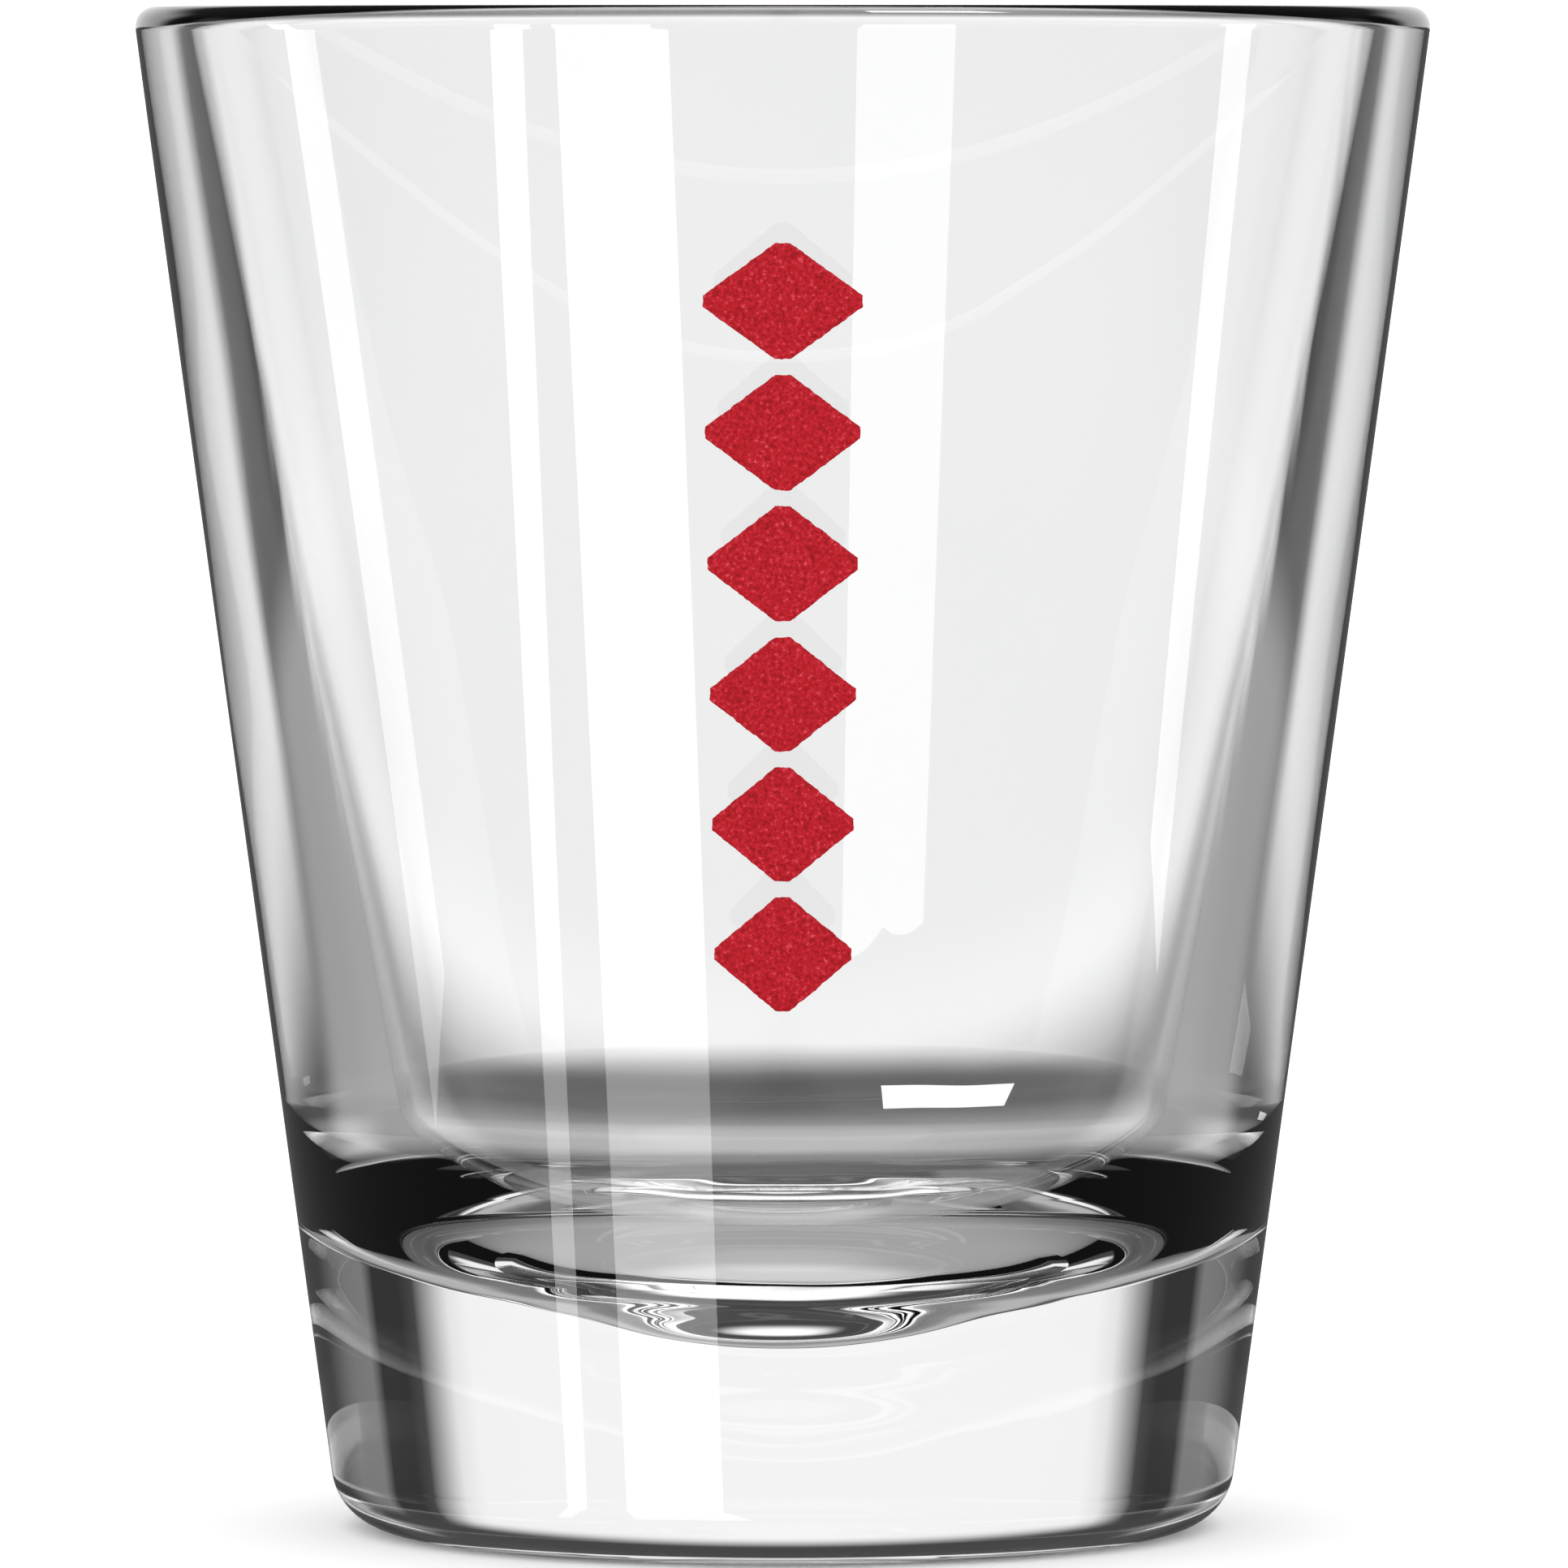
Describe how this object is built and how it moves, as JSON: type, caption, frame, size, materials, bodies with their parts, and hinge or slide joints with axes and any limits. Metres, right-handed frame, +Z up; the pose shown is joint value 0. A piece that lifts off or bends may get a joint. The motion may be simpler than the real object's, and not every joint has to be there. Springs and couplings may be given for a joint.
{
  "type": "shot glass",
  "caption": "Tapered clear shot glass with a thick solid base, a rounded cavity and a printed column of red enamel lozenges on the front.",
  "frame": {"origin": "centre of the foot on the plane that the glass stands on", "axes": "+Z up along the glass's axis of symmetry, from the foot to the rim; the printed column faces -Y"},
  "size_m": [0.051, 0.051, 0.06],
  "materials": {
    "clear_glass": "fire-polished clear soda-lime glass",
    "red_enamel": "screen-printed fired red enamel with a fine sparkling grain"
  },
  "bodies": {
    "root": {"tumbler": "clear_glass", "ornament_1": "red_enamel", "ornament_2": "red_enamel", "ornament_3": "red_enamel", "ornament_4": "red_enamel", "ornament_5": "red_enamel", "ornament_6": "red_enamel"}
  },
  "joints": []
}
